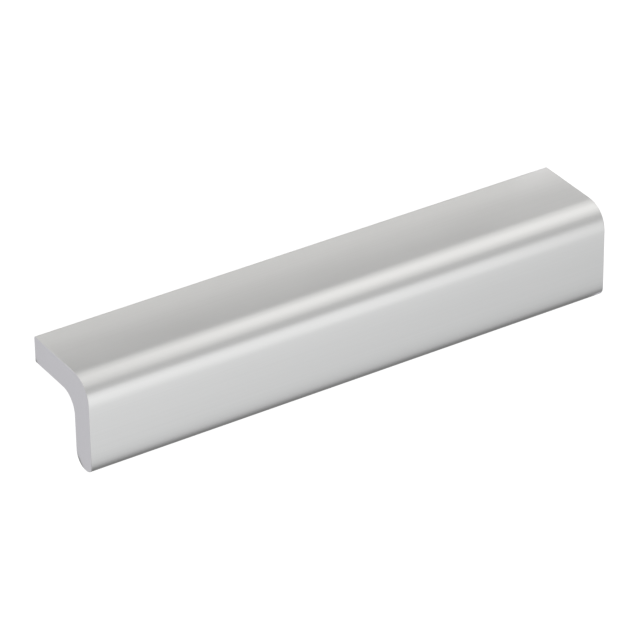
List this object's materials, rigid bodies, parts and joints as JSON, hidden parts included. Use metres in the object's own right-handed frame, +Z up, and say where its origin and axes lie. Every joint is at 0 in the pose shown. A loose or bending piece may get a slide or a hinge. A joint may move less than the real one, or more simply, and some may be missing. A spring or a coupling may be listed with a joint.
{
  "type": "finger pull profile",
  "caption": "Straight L-shaped metal finger pull with a rounded outside corner and a round-tipped lip to hook fingers behind, screwed on through its flat back face.",
  "frame": {"origin": "on the surface the bar lies on, under the middle of its bounding box", "axes": "+X along the length, +Z up with the bar lying unheld on its lip tip and the lower edge of its back face, +Y from the lip side to the flange's back edge"},
  "size_m": [0.144, 0.034, 0.0192],
  "materials": {
    "satin_aluminium": "satin anodised, finely brushed along the length, with fine-sawn ends"
  },
  "bodies": {
    "root": {"finger_pull_profile": "satin_aluminium"}
  },
  "joints": []
}
